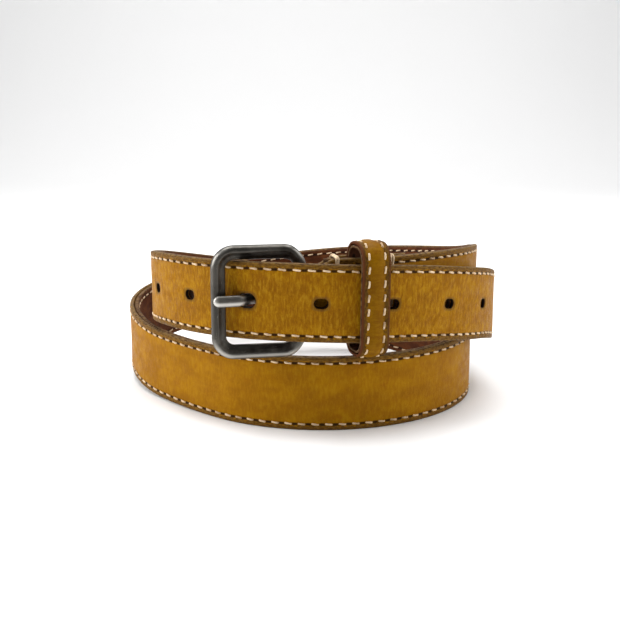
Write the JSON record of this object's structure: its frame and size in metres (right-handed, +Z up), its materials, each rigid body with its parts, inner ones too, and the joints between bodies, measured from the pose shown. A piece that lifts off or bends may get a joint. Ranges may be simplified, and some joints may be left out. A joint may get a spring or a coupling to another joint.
{
  "type": "money belt",
  "caption": "Leather money belt with a hidden zip pocket in the lining, coiled and fastened through a prong buckle and a keeper loop.",
  "frame": {"origin": "centre of the bounding box's bottom face, on the surface that the coil stands on", "axes": "+Z up; -Y towards the buckle, at the front; +X to the right, seen from the front, the way the strap runs through the buckle"},
  "size_m": [0.1706, 0.1795, 0.0774],
  "materials": {
    "face_leather": "waxed, creased, mustard tan",
    "lining_leather": "matt red-brown",
    "thread": "cream thread",
    "buckle_metal": "antique grey, brushed",
    "zip_metal": "old brass",
    "zip_cloth": "dark brown woven tape"
  },
  "bodies": {
    "strap": {"face_strap": "face_leather", "lining": "lining_leather", "upper_stitch_face": "thread", "lower_stitch_face": "thread", "upper_stitch_lining": "thread", "lower_stitch_lining": "thread", "cross_stitch_buckle_side": "thread", "cross_stitch_strap_side": "thread", "zip_stitch": "thread", "zip_tape_upper": "zip_cloth", "zip_tape_lower": "zip_cloth", "zip_teeth_upper": "zip_metal", "zip_teeth_lower": "zip_metal", "zip_stop_top": "zip_metal", "zip_stop_bottom": "zip_metal"},
    "buckle": {"buckle_frame": "buckle_metal"},
    "prong": {"buckle_prong": "buckle_metal"},
    "keeper": {"keeper_face": "face_leather", "keeper_lining": "lining_leather", "keeper_stitch_left": "thread", "keeper_stitch_right": "thread"},
    "slider": {"zip_slider": "zip_metal"},
    "pull": {"zip_pull": "zip_metal"}
  },
  "joints": [
    {"name": "buckle_swing", "type": "hinge", "parent": "strap", "child": "buckle", "pos_m": [-0.00312, -0.07681, 0.055], "axis": [0, 0, 1], "range_deg": [0, 2.5]},
    {"name": "prong_lift", "type": "hinge", "parent": "buckle", "child": "prong", "pos_m": [-0.00312, -0.07681, 0.055], "axis": [0, 0, 1], "range_deg": [0, 1]},
    {"name": "keeper_slide", "type": "slide", "parent": "strap", "child": "keeper", "axis": [0.9454, 0.3258, -0.0099], "range_m": [-0.002, 0.0015]},
    {"name": "zip_run", "type": "hinge", "parent": "strap", "child": "slider", "pos_m": [0.0056, -0.0074, 0.015], "axis": [0, 0, 1], "range_deg": [-83, 0]},
    {"name": "pull_flip", "type": "hinge", "parent": "slider", "child": "pull", "pos_m": [0.05642, -0.04168, 0.015], "axis": [0, 0, -1], "range_deg": [0, 160]}
  ]
}
